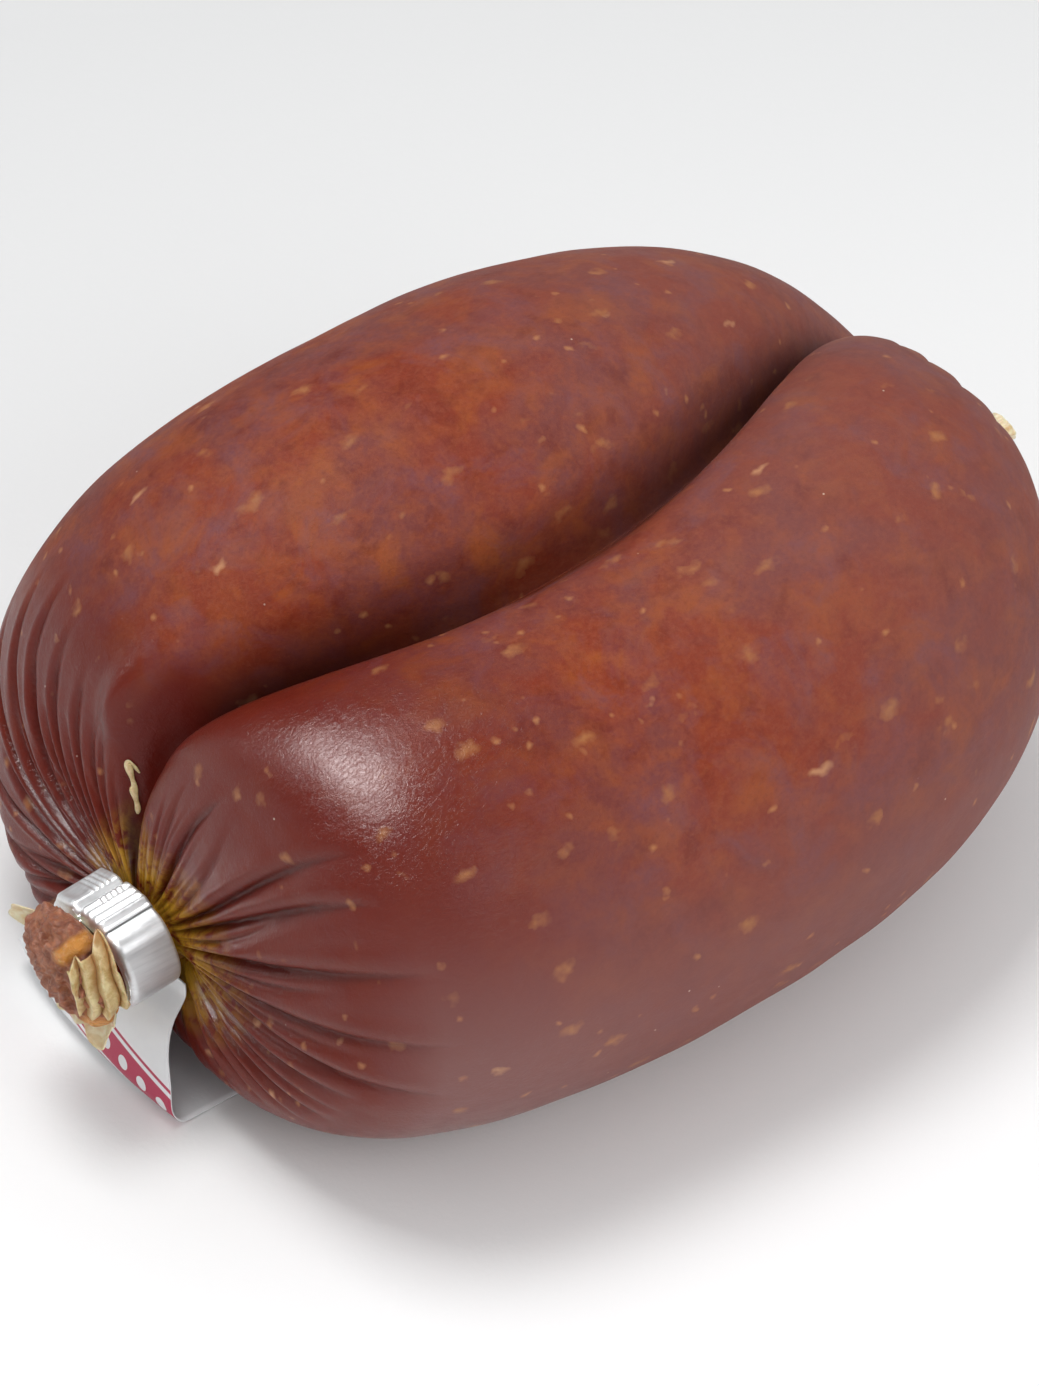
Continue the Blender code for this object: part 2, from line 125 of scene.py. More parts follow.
# Cut meat, in mm: how far it sits to the front and up, its outline as distance out and radius, and
# its pieces of fat as place to the front and up, half sizes and turn
PLUG_OFFSET = (0.5, 2.0)
PLUG_PROFILE = (
    (0.0, 4.7), (0.9, 5.9), (1.8, 7.0), (2.9, 7.5), (4.2, 7.1), (5.3, 5.9), (6.0, 4.0), (6.3, 1.8),
    (6.3, 0.2),
)
PLUG_ROUNDNESS = 0.35
FAT_PIECES = ((3.7, 7.9, 2.3, 1.1, 0.95), (5.9, -2.7, 2.1, 1.5, 0.9))
FAT_SQUARENESS = 2.6

# Ragged casing round the meat: flaps as angle and half width in degrees, length in mm, squareness
FLAPS = (
    (-66, 12, 2.8, 2), (166, 19, 3.4, 4), (208, 13, 2.6, 4), (-36, 22, 1.2, 2), (238, 20, 2.5, 2),
    (-96, 14, 2.2, 2),
)
FRILL_THICKNESS = 0.14 * MM
PLEAT_COUNT = 3.0
PLEAT_THICKNESS = 0.2 * MM

# Loose strip in the crease: angles u and v in degrees, and half width in mm
STRAND_PATH = (
    (21.6, 99.4, 0.10), (20.7, 100.8, 0.28), (19.7, 100.9, 0.34), (18.7, 99.6, 0.30),
    (17.8, 99.3, 0.34), (16.9, 98.2, 0.28), (15.8, 97.8, 0.12),
)

# Tied tip, in mm: distance out and radius
TIP_PROFILE = (
    (-0.4, 2.5), (1.2, 2.1), (3.0, 1.5), (5.5, 1.3), (7.5, 1.6), (8.8, 1.9), (9.3, 1.3), (9.3, 0.3),
)
TIP_DIRECTION = (1, 0, 0.35)

# Mesh of the body
COLUMNS = 560
NECK_STATIONS = (BAND_WIDTH, 3.3 * MM, -0.2 * MM)
CLIP_END_STEP = 0.42 * MM
MIDDLE_STEP = 0.95 * MM
STEP_GROWS_OVER = 40 * MM

# Folds that draw in to the clip: angle v in degrees beside the clip and at the far end, reach u in
# degrees and depth in mm
CLIP_FOLDS = (
    (27, 37, 37, 1.3), (21, 28, 36, 1.5), (8, 17, 41, 1.4), (-4, 4, 43, 1.3), (-12, -8, 42, 1.4),
    (-22, -14, 26, 1.3), (-34, -26, 24, 1.3), (53, 51, 19, 1.1), (119, 111, 20, 0.9),
    (133, 124, 16, 0.8), (145, 134, 18, 1.0), (156, 138, 23, 1.2), (167, 148, 29, 1.2),
    (180, 171, 18, 1.1), (193, 199, 17, 1.0),
)
FOLD_HALF_ANGLE = math.radians(2.9)

# Folds that the photo doesn't show, at the clip and at the tied end: first and last angle v in
# degrees and how many, then their reaches u in degrees and depths in mm
HIDDEN_FOLDS = ((206, 318, 10), (0, 360, 15))
HIDDEN_REACHES = (16, 36)
HIDDEN_DEPTHS = (0.7, 1.3)
SEED = 11

# Folds that show at the tied end, by their angle v in degrees, with reach and depth as above
TIED_FOLDS = (54, 45, 35, 25)
TIED_FOLD_REACH = 38
TIED_FOLD_DEPTH = 1.1
TIED_FOLD_SHARE = 0.5

# Shallow folds between those at the clip, in the same terms
FINE_FOLDS = (
    (112, 106, 24, 0.6), (126, 116, 27, 0.9), (139, 124, 32, 1.2), (150, 133, 38, 1.3),
    (161, 144, 38, 1.3), (173, 158, 36, 1.2), (186, 184, 28, 1.0), (201, 212, 26, 0.9),
    (104, 103, 17, 0.6), (60, 62, 16, 0.5), (45, 48, 12, 0.4), (34, 46, 17, 0.5),
    (14, 24, 16, 0.6), (2, 10, 22, 0.7), (-8, -2, 26, 0.6), (-17, -11, 18, 0.6),
    (-28, -20, 25, 0.8), (-41, -33, 22, 0.8), (-49, -41, 18, 0.7), (-57, -50, 15, 0.6),
)
FINE_HALF_ANGLE = math.radians(1.9)

# Small pleats close to each tie: how many, reach u in degrees, depth in mm, half width in degrees
PLEATS = ((64, (5, 15), (0.18, 0.5), 1.5), (40, (8, 20), (0.12, 0.35), 2.0))

# Broad swells: angles u and v in degrees, half widths along each, and rise in mm
SWELLS = (
    (16, 200, 22, 22, 1.6), (150, 20, 16, 16, 1.1), (133, 114, 16, 16, 0.6),
    (27, 106, 9, 3.6, 2.3), (30, 97, 12, 4, -1.8),
)

# Soft lumps all over: waves for each mm, and rise in mm
LUMPS = ((0.045, 0.42), (0.16, 0.10))
NECK_CLEARANCE = 0.5

# Where the skin's colour and gloss change: the hollow beside the clip that takes painted shade, in
# degrees, as angles u and v with half widths; fades in mm, along x or down from a height, as where
# each starts and how far it runs, the last two for a painted floor sheen; and the ochre round the
# clip in mm, as its radius and its soft edge, at the back and at the front
POCKET_SHADE_AREA = (29, 98, 14, 5)
GLOSS_FADE = (-42, 26)
FOLDS_FADE = (-52, 6)
SHEEN_FAR_END_FADE = (-14, 40)
SHEEN_LOW_FADE = (54, 24)
OCHRE_REACH = (12.0, 19.0)
OCHRE_FADE = (5.0, 12.0)

# Mottling of the skin: noise settings, where its ramp starts and ends, its full share, its colour
MOTTLING = (
    ((0.16, 3, 0.6, 0.5, 9.0), (0.48, 0.68, 0.60), (0.335, 0.085, 0.016)),
    ((0.24, 3, 0.5, 0.4, 31.0), (0.52, 0.70, 0.50), (0.120, 0.012, 0.006)),
    ((0.13, 4, 0.6, 0.6, 77.0), (0.50, 0.68, 0.75), (0.180, 0.060, 0.070)),
    ((0.42, 4, 0.6, 0.4, 51.0), (0.48, 0.70, 0.36), (0.315, 0.068, 0.017)),
    ((1.3, 4, 0.7, 0.4, 5.0), (0.45, 0.68, 0.40), (0.285, 0.072, 0.036)),
    ((1.9, 4, 0.7, 0.3, 65.0), (0.50, 0.70, 0.24), (0.090, 0.010, 0.008)),
)

# Fat grains, slivers, crumbs, pepper and flecks: spot settings, share of the colour, colour
SPOTS = (
    ((4.2, 0.2, 1.2, 0.32, 3.0, 2.6, (0.7, 1.2, 1.0)), 0.48, (0.49, 0.22, 0.08)),
    ((6.5, 0.25, 0.9, 0.22, 91.0, 2.0, (0.45, 1.3, 1.0)), 0.6, (0.58, 0.30, 0.15)),
    ((2.6, 0.1, 0.6, 0.2, 17.0, 1.6), 0.5, (0.55, 0.25, 0.10)),
    ((10.0, 0.25, 0.7, 0.2, 41.0, 1.2), 0.85, (0.035, 0.022, 0.025)),
    ((4.2, 0.05, 0.17, 0.25, 57.0), 0.65, (0.75, 0.62, 0.5)),
)
LIGHT_RED = (0.223, 0.033, 0.012)
DULL_RED = (0.180, 0.046, 0.038)
DEEP_RED = (0.130, 0.010, 0.004)
# Painted reflection: the pale floor's sheen on the low sides and towards the far end
SHEEN_MAUVE = (0.208, 0.092, 0.084)
OCHRE = (0.44, 0.235, 0.018)
# Painted shade in the fold bottoms
FOLD_SHADE_RED = (0.060, 0.004, 0.003)
# Painted shade at the bottom of the slit between the lobes
CREASE_SHADE = (0.030, 0.003, 0.001)
# Painted shade in the hollow of the crease beside the clip
POCKET_SHADE_RED = (0.120, 0.006, 0.002)

# Other finishes
METAL_TONES = ((0.66, 0.67, 0.68), (0.80, 0.81, 0.82))
MEAT_TONES = ((0.26, 0.075, 0.035), (0.45, 0.165, 0.075))
MEAT_GAPS = (0.14, 0.032, 0.014)
FAT_ORANGE = (0.60, 0.24, 0.030)
# Painted light on the floor: its tone at the front left and at the back right, and where the fade
# starts and ends in mm
FLOOR_LIGHT_TONES = ((0.97, 0.97, 0.97), (0.70, 0.70, 0.70))
FLOOR_LIGHT_FADE = (-120, 190)

# Paper and its print: a band with dots between two thin lines, in mm along the label
PAPER_TONES = ((0.74, 0.74, 0.76), (0.80, 0.80, 0.81))
CRIMSON = (0.46, 0.022, 0.075)
PRINT_SLANT = 0.22
PRINT_BAND = (13.5, 2.1)
PRINT_LINES = ((10.6, 0.22), (16.4, 0.22))
DOT_STEP = 3.4
DOT_RADIUS = 0.85

# Casing that dried at the ties: low and high colour of each kind, and its painted shade at the
# bottom of a fold
STRAW = ((0.72, 0.54, 0.26), (0.92, 0.84, 0.60))
DARK_STRAW = ((0.52, 0.34, 0.12), (0.84, 0.68, 0.38))
STRAW_SHADE = (0.40, 0.17, 0.035)

# Light: name, azimuth and elevation in degrees, distance and sides in metres, watts, and what it
# doesn't light
LAMPS = (
    ("key", 118, 79, 0.8, (0.30, 0.30), 3.0, "glossy"),
    ("fill", 280, 36, 0.8, (0.50, 0.40), 1.6, None),
    ("gloss", 151, 64, 0.75, (0.50, 0.27), 14.2, "diffuse"),
    ("edge", 138, 24, 0.75, (0.06, 0.34), 0.8, "diffuse"),
)
LAMPS_AIM_AT = Vector((0, 0, 0.03))
SKY_COLOUR = (0.98, 0.99, 1.0, 1)
SKY_STRENGTH = 0.66
SKY_IN_REFLECTIONS = 0.13
FLOOR_HALF_WIDTH = 1.6
FLOOR_DROP = 0.05 * MM

# Camera, fitted to the photo
CAMERA_RIGHT = Vector((0.8042, -0.5944, 0))
CAMERA_UP = Vector((0.4129, 0.5587, 0.7193))
CAMERA_ROLL = math.radians(-0.249)
CAMERA_DISTANCE = 0.7
AIM_HEIGHT = 24.891 * MM
AIM_SIDE = -2.154 * MM
SENSOR_WIDTH = 36
FOCAL_PIXELS = 5977
PHOTO_HEIGHT = 1386


def unit(a):
    return a / np.linalg.norm(a, axis=-1, keepdims=True)


def eased(share):
    """A share from 0 to 1 with a soft start and end."""
    return share * share * (3 - 2 * share)


def fade(value, start, length):
    """0 up to start, 1 from start plus length on."""
    return np.clip((value - start) / length, 0, 1)


def round_angles(count):
    return np.arange(count) * 2 * math.pi / count


def end_mix(c, at_ends):
    near, middle, far = at_ends
    return middle * (1 - c ** 2) + c ** 2 * np.where(c < 0, near, far)


def by_end(c, pair):
    return np.where(c < 0, pair[0], pair[1])


def lobe_side(v):
    side = np.clip(np.cos(v) / LOBE_JOIN, -1, 1)
    return side * (1.5 - 0.5 * side ** 2)


def slit_share(v, c):
    """1 at the bottom of the slit between the lobes, 0 away from it."""
    past_slit = np.abs(v - QUARTER - end_mix(c, SLIT_SHIFT)) / end_mix(c, SLIT_HALF_ANGLE)
    return np.exp(-past_slit ** SLIT_SHARPNESS)


def lobe_section(v, c):
    offset = end_mix(c, LOBE_SPREAD) * LOBE_RADIUS
    radius = offset * np.abs(np.cos(v)) + np.sqrt(LOBE_RADIUS ** 2 - (offset * np.sin(v)) ** 2)
    notch = np.exp(-(np.abs(v - QUARTER) / CREASE_HALF_ANGLE) ** CREASE_SHARPNESS)
    crease = end_mix(c, CREASE_DEPTH) * notch
    return radius * (1 - crease - end_mix(c, SLIT_DEPTH) * slit_share(v, c))


def neck_radius(angle):
    across = np.abs(np.cos(angle - CLIP_ROLL)) / NECK_HALF_WIDTH
    up = np.abs(np.sin(angle - CLIP_ROLL)) / NECK_HALF_HEIGHT
    return (across ** NECK_SQUARENESS + up ** NECK_SQUARENESS) ** (-1 / NECK_SQUARENESS)


def turned_angle(u, v):
    c = -np.cos(u)
    start, slope, bend = CREASE_WANDER
    return v + (start + slope * c + bend * (2 * c ** 2 - 1)) * (1 + np.sin(v)) / 2


def from_axis(u, v):
    """Distance of the skin from the axis, before it is drawn in to a neck."""
    c = -np.cos(u)
    return lobe_section(v, c) * np.sin(u) ** by_end(c, END_BLUNTNESS)


def dimple_depth(c, angle):
    """How far the skin is drawn in at a neck."""
    first, last = DIMPLE_SIDES
    under = eased(fade(np.sin(angle), first, last - first))
    at_clip = OVER_CLIP_SWELL + (UNDER_CLIP_DIMPLE - OVER_CLIP_SWELL) * under
    return np.where(c < 0, at_clip, TIED_END_DIMPLE)


def smooth_skin(u, v):
    """A point of the skin without folds, by the part's formula."""
    c = -np.cos(u)
    angle = turned_angle(u, v)
    side = lobe_side(v)
    share = np.sin(u) ** by_end(c, END_BLUNTNESS)
    radius = lobe_section(v, c) * share
    front, back = end_mix(c, FRONT_WIDTH), end_mix(c, BACK_WIDTH)
    width = (front + back) / 2 + (front - back) / 2 * side

    body_y = -radius * np.cos(angle) * width
    body_z = radius * np.sin(angle) * HEIGHT_SCALE
    neck = np.where(c < 0, neck_radius(angle), TIED_NECK_RADIUS)
    at_neck = np.exp(-np.hypot(body_y, body_z) / (NECK_FLARE * neck))
    drawn = np.exp(-(share / NECK_DRAWS_WITHIN) ** 2)
    y = body_y - neck * np.cos(angle) * at_neck
    z = body_z + neck * np.sin(angle) * at_neck
    y += SIDE_BOW * (1 - c ** 2) + np.where(c < 0, drawn * CLIP_CENTRE[1], 0)
    z += AXIS_HEIGHT + (by_end(c, END_HEIGHT) - AXIS_HEIGHT) * np.abs(c) ** END_DROOP
    z += np.where(c < 0, drawn * (CLIP_CENTRE[2] - END_HEIGHT[0]), 0)

    overhang = 1 + CLIP_END_OVERHANG * np.sin(angle) * np.clip(share / OVERHANG_FULL_AT, 0, 1) ** 2
    x = c * HALF_LENGTH * (1 - CLIP_END_DENT * np.exp(-(u / CLIP_END_REACH) ** 2) * overhang)
    x += side * by_end(c, LOBE_STAGGER) * c ** 2 * np.sin(u)
    x -= np.sign(c) * dimple_depth(c, angle) * np.exp(-np.hypot(body_y, body_z) / DIMPLE_WIDTH)
    return np.stack([x, y, z], -1)


def skin_normal(u, v, step=0.004):
    low, high = np.clip((u - step, u + step), NEARLY_END, math.pi - NEARLY_END)
    along = smooth_skin(high, v) - smooth_skin(low, v)
    around = smooth_skin(u, v + step) - smooth_skin(u, v - step)
    return unit(np.cross(along, around))


def turn_between(a, b):
    """Signed angle from b to a, between minus half a turn and half a turn."""
    return (a - b + math.pi) % (2 * math.pi) - math.pi


def fold_list():
    """Every fold as its end, its angles and reach in radians, its depth and its half width."""
    rng = np.random.default_rng(SEED)
    folds = []

    def add(end, near, far, reach, depth, half_width):
        folds.append((end, *np.radians((near, far, reach)), depth * MM, half_width))

    for fold in CLIP_FOLDS:
        add(0, *fold, FOLD_HALF_ANGLE)
    for end, (first, last, count) in enumerate(HIDDEN_FOLDS):
        for angle in np.linspace(first, last, count, endpoint=False):
            angle += rng.uniform(-3, 3)
            if end == 1 and min(abs(angle - shown) for shown in TIED_FOLDS) < 8:
                continue
            reach, depth = rng.uniform(*HIDDEN_REACHES), rng.uniform(*HIDDEN_DEPTHS)
            add(end, angle, angle + rng.uniform(-6, 6), reach, depth, FOLD_HALF_ANGLE)
    for angle in TIED_FOLDS:
        add(1, angle + 3, angle, TIED_FOLD_REACH, TIED_FOLD_DEPTH, FOLD_HALF_ANGLE)
    for end, (count, reaches, depths, half_width) in enumerate(PLEATS):
        for angle in np.linspace(0, 360, count, endpoint=False):
            angle += rng.uniform(-2, 2)
            reach, depth = rng.uniform(*reaches), rng.uniform(*depths)
            add(end, angle, angle + rng.uniform(-3, 3), reach, depth, math.radians(half_width))
    for fold in FINE_FOLDS:
        add(0, *fold, FINE_HALF_ANGLE)
    return folds


def beside_fold(apart):
    """Height across one fold, in its depths: a cut, steeper on one side, with pillows beside it."""
    cut = np.where(apart > 0, np.exp(-apart / 0.42), np.exp(apart / 0.85))
    pillow = 0.30 * np.exp(-((apart - 1.5) / 0.8) ** 2)
    pillow = pillow + 0.12 * np.exp(-((apart + 2.2) / 0.9) ** 2)
    return pillow - 1.35 * cut


def field(points, scale, seed=0.0):
    """Smooth noise between -1 and 1 at points in metres; scale is in waves for each millimetre."""
    flat = points.reshape(-1, 3) * (scale / MM) + seed
    return np.array([noise.noise(Vector(p)) for p in flat]).reshape(points.shape[:-1])


def relief(u, v):
    """Height of the skin over its smooth form, and how far into a fold each point lies, for the
    painted shade in the folds.
    """
    height = np.zeros(np.broadcast(u, v).shape)
    fold_shade = np.zeros_like(height)
    clear_of_neck = 1 - np.exp(-(np.sin(u) ** END_BLUNTNESS[0] / NECK_CLEARANCE) ** 2)
    for end, near, far, reach, depth, half_width in fold_list():
        from_end = u if end == 0 else math.pi - u
        run = np.clip(from_end / reach, 0, 1)
        middle = near + (far - near) * run
        along = (1 - run ** 1.5) * (1 - np.exp(-from_end / 0.012))
        along *= TIED_FOLD_SHARE if end else 1
        apart = turn_between(v, middle) / (half_width * (1 - 0.35 * run))
        height += depth * along * beside_fold(apart)
        # Share of painted shade, strongest at the bottom of each fold
        sharp = np.exp(-np.abs(apart) / 0.55)
        fold_shade = np.maximum(fold_shade, sharp * np.sqrt(along) * np.minimum(1, depth / (1.0 * MM)))
    for at_u, at_v, half_u, half_v, rise in SWELLS:
        far_u = (u - math.radians(at_u)) / math.radians(half_u)
        far_v = turn_between(v, math.radians(at_v)) / math.radians(half_v)
        height += rise * MM * np.exp(-far_u ** 2 - far_v ** 2) * clear_of_neck
    at = smooth_skin(u, v)
    for seed, (scale, rise) in enumerate(LUMPS):
        height += rise * MM * field(at, scale, 7.3 * seed) * clear_of_neck
    return height, np.clip(fold_shade, 0, 1)


def run_along(points):
    """Distance from the first point to each one along the line through them."""
    return np.concatenate([[0], np.cumsum(np.linalg.norm(np.diff(points, axis=0), axis=1))])


def stations():
    """The angles u of the rings, close together at the clip end and further apart in the middle."""
    u = np.linspace(NEARLY_END, math.pi - NEARLY_END, 4001)
    length = run_along(smooth_skin(u, np.zeros_like(u)))
    nearer = np.minimum(length, length[-1] - length)
    step = CLIP_END_STEP + (MIDDLE_STEP - CLIP_END_STEP) * fade(nearer, 0, STEP_GROWS_OVER)
    count = np.concatenate([[0], np.cumsum(np.diff(length) / step[1:])])
    return np.interp(np.linspace(0, count[-1], int(round(count[-1])) + 1), count, u)


def clip_axes():
    """Columns: across the clip, up it, and out along the neck."""
    level = Matrix(((0, 0, -1), (-1, 0, 0), (0, 1, 0)))
    return Matrix.Rotation(-CLIP_DIP, 3, "Y") @ level @ Matrix.Rotation(CLIP_ROLL, 3, "Z")


AXES = np.array(clip_axes())
OUT = AXES[:, 2]
NECK_UP = np.cross(SIDEWAYS, OUT)


def neck_point(distance, radius, angle):
    """A point beside the clip's axis, by distance out from the inner rim, radius and angle."""
    flat = np.stack(np.broadcast_arrays(distance, radius, angle), -1)
    out, away, turn = flat[..., 0:1], flat[..., 1:2], flat[..., 2:3]
    return CLIP_CENTRE + OUT * out + away * (np.sin(turn) * NECK_UP - np.cos(turn) * SIDEWAYS)


def link(obj):
    bpy.context.scene.collection.objects.link(obj)
    return obj


def set_values(mesh, key, values):
    """Keeps one number for each vertex, for the materials to read."""
    made = mesh.attributes.get(key) or mesh.attributes.new(key, "FLOAT", "POINT")
    made.data.foreach_set("value", np.asarray(values, np.float32))


def thicken(obj, thickness):
    solid = obj.modifiers.new("thickness", "SOLIDIFY")
    solid.thickness = thickness
    solid.offset = 0
    return obj


def grid_mesh(name, points, around=True, caps=(), values=None):
    """A smooth mesh through rows of points.

    around joins the last column to the first, and caps names the end rows that are closed.
    """
    rows, columns = points.shape[:2]
    verts = list(points.reshape(-1, 3) + SHIFT)
    index = np.arange(rows * columns).reshape(rows, columns)
    there = np.roll(index, -1, axis=1) if around else index[:, 1:]
    here = index if around else index[:, :-1]
    faces = np.stack([here[:-1], there[:-1], there[1:], here[1:]], -1).reshape(-1, 4).tolist()
    for row in caps:
        ring = index[row].tolist()
        middle = len(verts)
        verts.append(np.mean([verts[k] for k in ring], axis=0))
        for a, b in zip(ring, ring[1:] + ring[:1]):
            faces.append((b, a, middle) if row == 0 else (a, b, middle))
    mesh = bpy.data.meshes.new(name)
    mesh.from_pydata(np.array(verts).tolist(), [], faces)
    for key, value in (values or {}).items():
        flat = np.concatenate([value.ravel(), [value[row].mean() for row in caps]])
        set_values(mesh, key, flat)
    mesh.update()
    mesh.shade_smooth()
    return link(bpy.data.objects.new(name, mesh))


class Finish:
    """A material under construction: short calls add nodes and join them."""

    def __init__(self, name, **fixed):
        self.made = bpy.data.materials.new(name)
        self.made.use_nodes = True
        self.tree = self.made.node_tree
        self.shader = self.tree.nodes["Principled BSDF"]
        for key, value in fixed.items():
            self.shader.inputs[key.replace("_", " ")].default_value = value
        coordinates = self.tree.nodes.new("ShaderNodeTexCoord")
        mapping = self.node("ShaderNodeMapping", {"Vector": coordinates.outputs["Object"]})
        mapping.inputs["Scale"].default_value = (1 / MM,) * 3
        self.place = mapping.outputs["Vector"]

    def node(self, kind, inputs=None, **settings):
        node = self.tree.nodes.new(kind)
        for key, value in settings.items():
            setattr(node, key, value)
        for key, value in (inputs or {}).items():
            if isinstance(value, bpy.types.NodeSocket):
                self.tree.links.new(value, node.inputs[key])
            else:
                node.inputs[key].default_value = value
        return node

    def moved(self, place, shift, stretch):
        inputs = {"Vector": place, "Location": (shift,) * 3, "Scale": stretch or (1, 1, 1)}
        return self.node("ShaderNodeMapping", inputs).outputs["Vector"]

    def noise(self, scale, detail=3.0, roughness=0.5, distortion=0.0, shift=0.0, stretch=None):
        """Smooth noise, scale in waves for each millimetre."""
        place = self.place
        if shift or stretch:
            place = self.moved(place, shift, stretch)
        node = self.node("ShaderNodeTexNoise", {
            "Vector": place, "Scale": scale, "Detail": detail, "Roughness": roughness,
            "Distortion": distortion})
        return node.outputs["Fac"]

    def spots(self, cell, low, high, share, shift=0.0, bend=0.0, stretch=None):
        """Soft spots in a share of the cells.

        Full inside radius low and gone past high, both in millimetres as the cell's size is.
        """
        place = self.place
        if bend:
            wave = self.node("ShaderNodeTexNoise", {"Vector": place, "Scale": 0.5, "Detail": 2.0})
            inputs = {0: wave.outputs["Color"], 1: (bend,) * 3}
            push = self.node("ShaderNodeVectorMath", inputs, operation="MULTIPLY").outputs[0]
            inputs = {0: place, 1: push}
            place = self.node("ShaderNodeVectorMath", inputs, operation="ADD").outputs[0]
        place = self.moved(place, shift, stretch)
        cells = self.node("ShaderNodeTexVoronoi", {"Vector": place, "Scale": 1 / cell})
        parts = self.node("ShaderNodeSeparateColor", {"Color": cells.outputs["Color"]})
        size = self.math("MULTIPLY", cells.outputs["Distance"], cell)
        chosen = self.math("LESS_THAN", parts.outputs["Red"], share)
        return self.math("MULTIPLY", self.ramp(size, high, low), chosen)

    def ramp(self, value, low, high, bottom=0.0, top=1.0):
        node = self.node("ShaderNodeMapRange", {"Value": value, "From Min": low, "From Max": high,
                                                "To Min": bottom, "To Max": top})
        return node.outputs["Result"]

    def math(self, operation, a, b=0.0):
        return self.node("ShaderNodeMath", {0: a, 1: b}, operation=operation).outputs[0]

    def mix(self, share, low, high):
        """Colour that goes from low to high as share goes from 0 to 1."""
        node = self.node("ShaderNodeMix", data_type="RGBA")
        for socket, value in ((0, share), (6, low), (7, high)):
            if isinstance(value, bpy.types.NodeSocket):
                self.tree.links.new(value, node.inputs[socket])
            else:
                node.inputs[socket].default_value = (*value, 1) if socket else value
        return node.outputs[2]

    def value(self, name):
        return self.node("ShaderNodeAttribute", attribute_name=name).outputs["Fac"]

    def bump(self, *layers):
        """Relief from (height, distance in millimetres) layers, one on another."""
        normal = None
        for height, distance in layers:
            inputs = {"Height": height, "Distance": distance * MM, "Strength": 1.0}
            if normal:
                inputs["Normal"] = normal
            normal = self.node("ShaderNodeBump", inputs).outputs["Normal"]
        for key in ("Normal", "Coat Normal"):
            self.tree.links.new(normal, self.shader.inputs[key])

    def set(self, key, value):
        self.tree.links.new(value, self.shader.inputs[key])


def casing_finish():
    """Smoked natural casing over coarse meat, with painted shade in its folds, crease and hollow,
    and a painted floor sheen low down.
    """
    f = Finish("smoked_casing", Roughness=0.4, Specular_IOR_Level=0.08, Subsurface_Weight=0.10,
               Subsurface_Scale=0.0012, Coat_Roughness=0.22)
    f.shader.inputs["Subsurface Radius"].default_value = (1.0, 0.3, 0.15)
    colour = f.mix(f.ramp(f.noise(0.05, 3, 0.6, 0.5), 0.42, 0.58), LIGHT_RED, DULL_RED)
    for pattern, (first, last, share), tint in MOTTLING:
        colour = f.mix(f.ramp(f.noise(*pattern), first, last, 0, share), colour, tint)
    colour = f.mix(f.ramp(f.value("matt"), 0, 1, 0.90, 0), colour, DEEP_RED)
    # Painted reflection: a sheen of the pale floor, low down and towards the far end
    colour = f.mix(f.ramp(f.value("floor_sheen"), 0, 1, 0, 0.78), colour, SHEEN_MAUVE)
    kinds = [f.spots(*shape) for shape, _, _ in SPOTS]
    for spots, (_, share, tint) in zip(kinds, SPOTS):
        colour = f.mix(f.math("MULTIPLY", spots, share), colour, tint)
    streaks = f.ramp(f.noise(0.5, 3, 0.6, 0.5, 13.0), 0.36, 0.56)
    colour = f.mix(f.math("MULTIPLY", f.ramp(f.value("ochre"), 0, 1), streaks), colour, OCHRE)
    # Painted shade: the fold bottoms darkened towards a deep red
    colour = f.mix(f.ramp(f.value("fold_shade"), 0.25, 0.95, 0, 0.9), colour, FOLD_SHADE_RED)
    # Painted shade: the bottom of the slit between the lobes, darker towards both ends
    colour = f.mix(f.ramp(f.value("crease"), 0.05, 0.75, 0, 0.9), colour, CREASE_SHADE)
    # Painted shade: the hollow in the crease beside the clip
    colour = f.mix(f.ramp(f.value("pocket_shade"), 0.05, 0.8, 0, 0.9), colour, POCKET_SHADE_RED)
    f.set("Base Color", colour)
    patchy = f.ramp(f.noise(0.4, 4, 0.6, 0.0, 3.0), 0.3, 0.7, -0.04, 0.05)
    f.set("Roughness", f.math("ADD", f.ramp(f.value("matt"), 0, 1, 0.35, 0.60), patchy))
    f.set("Coat Weight", f.ramp(f.value("matt"), 0, 0.9, 0.38, 0.0))
    wrinkles = f.noise(1.7, 4, 0.65, 1.6, 21.0, (0.7, 1.25, 1.0))
    f.bump((wrinkles, 0.065), (kinds[0], 0.03), (f.noise(0.35, 3, 0.5, 0.3, 8.0), 0.12))
    return f.made


def metal_finish():
    f = Finish("clip_metal", Metallic=0.8, Roughness=0.4, Specular_IOR_Level=0.2)
    streak = f.noise(0.9, 4, 0.6, 0.2, 0.0, (0.15, 2.2, 2.2))
    f.set("Base Color", f.mix(f.ramp(streak, 0.3, 0.7), *METAL_TONES))
    f.set("Roughness", f.ramp(f.noise(1.2, 3, 0.6, 0.0, 4.0), 0.3, 0.7, 0.34, 0.44))
    f.bump((streak, 0.008), (f.noise(3.5, 3, 0.6, 0.0, 12.0), 0.001))
    return f.made


